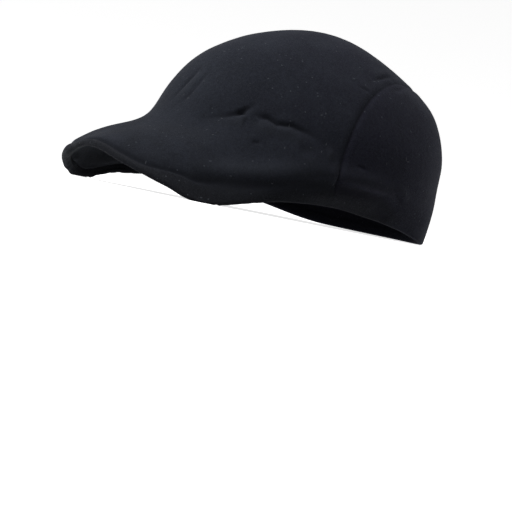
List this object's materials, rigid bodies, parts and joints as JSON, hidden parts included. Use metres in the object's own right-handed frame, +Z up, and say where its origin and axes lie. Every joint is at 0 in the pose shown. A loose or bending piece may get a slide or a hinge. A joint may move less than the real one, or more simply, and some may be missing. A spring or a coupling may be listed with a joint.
{
  "type": "flat cap",
  "caption": "Black wool felt flat cap with an arched peak that runs into the crown, a curved back seam and an open hollow for the head.",
  "frame": {"origin": "on the resting surface, under the middle of the cap's bounding box", "axes": "+Z up, -Y ahead along the peak, +X towards the wearer's left"},
  "size_m": [0.189, 0.2714, 0.1268],
  "materials": {
    "front_felt": "matte",
    "back_felt": "matte",
    "under_peak_felt": "matte"
  },
  "bodies": {
    "root": {"front_panel": "front_felt", "back_panel": "back_felt", "under_peak": "under_peak_felt"}
  },
  "joints": []
}
